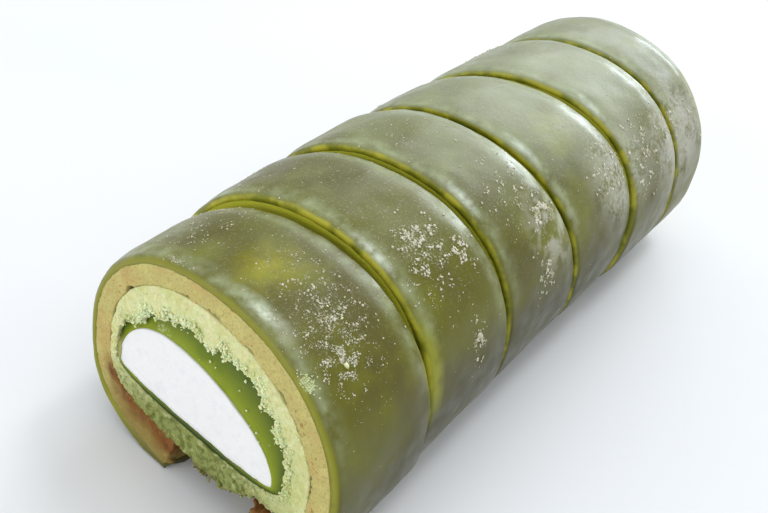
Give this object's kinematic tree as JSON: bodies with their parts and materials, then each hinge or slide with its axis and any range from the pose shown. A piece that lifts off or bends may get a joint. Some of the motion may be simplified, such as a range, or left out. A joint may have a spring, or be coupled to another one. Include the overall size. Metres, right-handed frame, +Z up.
{
  "type": "swiss roll cake",
  "caption": "Green tea swiss roll lying on its seam, cut across into slices, with a chewy skin, cake, sponge, green paste and a cream core.",
  "frame": {"origin": "on the floor, under the middle of the roll's bounding box", "axes": "+X along the roll, from the open cut end that the picture shows towards the other end, +Y to the left of someone who looks along +X, +Z up"},
  "size_m": [0.1646, 0.0658, 0.0529],
  "materials": {
    "skin": "glossy, chewy green skin with starch",
    "cake": "matte firm tan cake crumb",
    "sponge": "matte pale sponge crumb",
    "paste": "satin smooth green paste",
    "cream": "soft matte white cream"
  },
  "bodies": {
    "root": {"slice_1_skin": "skin", "slice_1_cake": "cake", "slice_1_sponge": "sponge", "slice_1_paste": "paste", "slice_1_cream": "cream", "slice_2_skin": "skin", "slice_2_cake": "cake", "slice_2_sponge": "sponge", "slice_2_paste": "paste", "slice_2_cream": "cream", "slice_3_skin": "skin", "slice_3_cake": "cake", "slice_3_sponge": "sponge", "slice_3_paste": "paste", "slice_3_cream": "cream", "slice_4_skin": "skin", "slice_4_cake": "cake", "slice_4_sponge": "sponge", "slice_4_paste": "paste", "slice_4_cream": "cream", "slice_5_skin": "skin", "slice_5_cake": "cake", "slice_5_sponge": "sponge", "slice_5_paste": "paste", "slice_5_cream": "cream", "slice_6_skin": "skin", "slice_6_cake": "cake", "slice_6_sponge": "sponge", "slice_6_paste": "paste", "slice_6_cream": "cream"}
  },
  "joints": []
}
